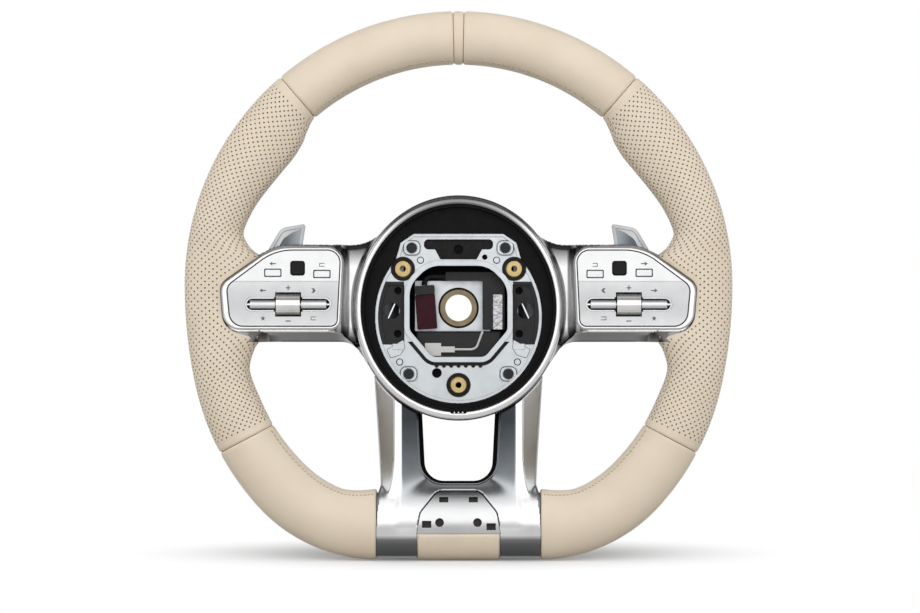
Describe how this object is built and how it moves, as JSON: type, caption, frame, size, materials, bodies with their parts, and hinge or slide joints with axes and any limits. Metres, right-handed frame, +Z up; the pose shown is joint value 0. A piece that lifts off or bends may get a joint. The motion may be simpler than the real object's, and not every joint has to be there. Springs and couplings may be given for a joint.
{
  "type": "steering wheel",
  "caption": "Flat-bottomed leather car steering wheel with perforated grips, switch pods, shift paddles, a double lower spoke and an open hub that shows the airbag carrier.",
  "frame": {"origin": "on the steering column axis at the rear face of the hub bush", "axes": "+Z up with the flat of the rim at the bottom, -Y towards the driver, +X to the driver's right"},
  "size_m": [0.3714, 0.0813, 0.3725],
  "materials": {
    "leather": "fine grain",
    "foam": "moulded foam",
    "steel": "plain",
    "cast_metal": "cast",
    "bush_steel": "oiled",
    "satin_silver": "satin",
    "panel_silver": "satin",
    "roller_metal": "knurled",
    "gloss_black": "gloss",
    "brass": "turned",
    "black_rubber": "matt",
    "black_plastic": "fine texture",
    "circuit_board": "lacquered",
    "grey_plastic": "moulded",
    "red_plastic": "moulded",
    "white_plastic": "moulded"
  },
  "bodies": {
    "wheel": {"leather_top_left": "leather", "leather_top_right": "leather", "leather_grip_left": "leather", "leather_grip_right": "leather", "leather_bottom_left": "leather", "leather_bottom_right": "leather", "leather_top_marker": "leather", "leather_bottom_center": "leather", "rim_foam": "foam", "rim_ring": "steel", "latch_springs": "steel", "carrier_rivets": "steel", "cover_screws": "steel", "axle_rod_left": "steel", "axle_rod_right": "steel", "paddle_pivot_left": "steel", "paddle_pivot_right": "steel", "hub_casting": "cast_metal", "airbag_carrier": "cast_metal", "hub_bush": "bush_steel", "hub_bezel": "satin_silver", "lower_spoke_trim": "satin_silver", "clip_plate": "satin_silver", "pod_frame_left": "satin_silver", "pod_frame_right": "satin_silver", "switch_panel_left": "panel_silver", "switch_panel_right": "panel_silver", "carrier_bushes": "brass", "carrier_dampers": "black_rubber", "carrier_bumpers": "black_rubber", "window_gasket": "black_rubber", "harness_cable": "black_rubber", "hub_liner": "black_plastic", "rear_cover": "black_plastic", "control_module": "black_plastic", "plug_cap": "black_plastic", "paddle_bracket_left": "black_plastic", "paddle_bracket_right": "black_plastic", "carrier_insert_left": "black_plastic", "carrier_insert_right": "black_plastic", "switch_board_left": "circuit_board", "switch_board_right": "circuit_board", "foil_socket": "grey_plastic", "plug_body": "red_plastic", "wire_terminal": "white_plastic", "ground_wire": "white_plastic"},
    "paddle_left": {"paddle_left": "satin_silver"},
    "paddle_right": {"paddle_right": "satin_silver"},
    "key_outer_left": {"key_outer_left": "panel_silver"},
    "key_outer_right": {"key_outer_right": "panel_silver"},
    "key_inner_left": {"key_inner_left": "panel_silver"},
    "key_inner_right": {"key_inner_right": "panel_silver"},
    "touch_pad_left": {"touch_pad_left": "gloss_black"},
    "touch_pad_right": {"touch_pad_right": "gloss_black"},
    "roller_left": {"roller_left": "roller_metal"},
    "roller_right": {"roller_right": "roller_metal"},
    "rocker_outer_left": {"rocker_outer_left": "panel_silver"},
    "rocker_outer_right": {"rocker_outer_right": "panel_silver"},
    "rocker_inner_left": {"rocker_inner_left": "panel_silver"},
    "rocker_inner_right": {"rocker_inner_right": "panel_silver"}
  },
  "joints": [
    {"name": "paddle_left_pull", "type": "hinge", "parent": "wheel", "child": "paddle_left", "pos_m": [-0.076, -0.035, 0], "axis": [0, 0, 1], "range_deg": [0, 5], "stiffness_Nm_per_rad": 1.2},
    {"name": "key_outer_left_press", "type": "slide", "parent": "wheel", "child": "key_outer_left", "axis": [0, 1, 0], "range_m": [0, 0.001], "stiffness_N_per_m": 1500},
    {"name": "key_inner_left_press", "type": "slide", "parent": "wheel", "child": "key_inner_left", "axis": [0, 1, 0], "range_m": [0, 0.001], "stiffness_N_per_m": 1500},
    {"name": "touch_pad_left_press", "type": "slide", "parent": "wheel", "child": "touch_pad_left", "axis": [0, 1, 0], "range_m": [0, 0.0006], "stiffness_N_per_m": 3000},
    {"name": "roller_left_turn", "type": "hinge", "parent": "wheel", "child": "roller_left", "pos_m": [-0.1149, -0.0735, 0.0024], "axis": [1, 0, 0], "range_deg": [-18, 18], "stiffness_Nm_per_rad": 0.06},
    {"name": "rocker_outer_left_rock", "type": "hinge", "parent": "wheel", "child": "rocker_outer_left", "pos_m": [-0.1149, -0.0735, 0.0024], "axis": [1, 0, 0], "range_deg": [-6, 6], "stiffness_Nm_per_rad": 0.15},
    {"name": "rocker_inner_left_rock", "type": "hinge", "parent": "wheel", "child": "rocker_inner_left", "pos_m": [-0.1149, -0.0735, 0.0024], "axis": [1, 0, 0], "range_deg": [-6, 6], "stiffness_Nm_per_rad": 0.15},
    {"name": "paddle_right_pull", "type": "hinge", "parent": "wheel", "child": "paddle_right", "pos_m": [0.076, -0.035, 0], "axis": [0, 0, -1], "range_deg": [0, 5], "stiffness_Nm_per_rad": 1.2},
    {"name": "key_outer_right_press", "type": "slide", "parent": "wheel", "child": "key_outer_right", "axis": [0, 1, 0], "range_m": [0, 0.001], "stiffness_N_per_m": 1500},
    {"name": "key_inner_right_press", "type": "slide", "parent": "wheel", "child": "key_inner_right", "axis": [0, 1, 0], "range_m": [0, 0.001], "stiffness_N_per_m": 1500},
    {"name": "touch_pad_right_press", "type": "slide", "parent": "wheel", "child": "touch_pad_right", "axis": [0, 1, 0], "range_m": [0, 0.0006], "stiffness_N_per_m": 3000},
    {"name": "roller_right_turn", "type": "hinge", "parent": "wheel", "child": "roller_right", "pos_m": [0.1149, -0.0735, 0.0024], "axis": [1, 0, 0], "continuous": true},
    {"name": "rocker_outer_right_rock", "type": "hinge", "parent": "wheel", "child": "rocker_outer_right", "pos_m": [0.1149, -0.0735, 0.0024], "axis": [1, 0, 0], "range_deg": [-6, 6], "stiffness_Nm_per_rad": 0.15},
    {"name": "rocker_inner_right_rock", "type": "hinge", "parent": "wheel", "child": "rocker_inner_right", "pos_m": [0.1149, -0.0735, 0.0024], "axis": [1, 0, 0], "range_deg": [-6, 6], "stiffness_Nm_per_rad": 0.15}
  ]
}
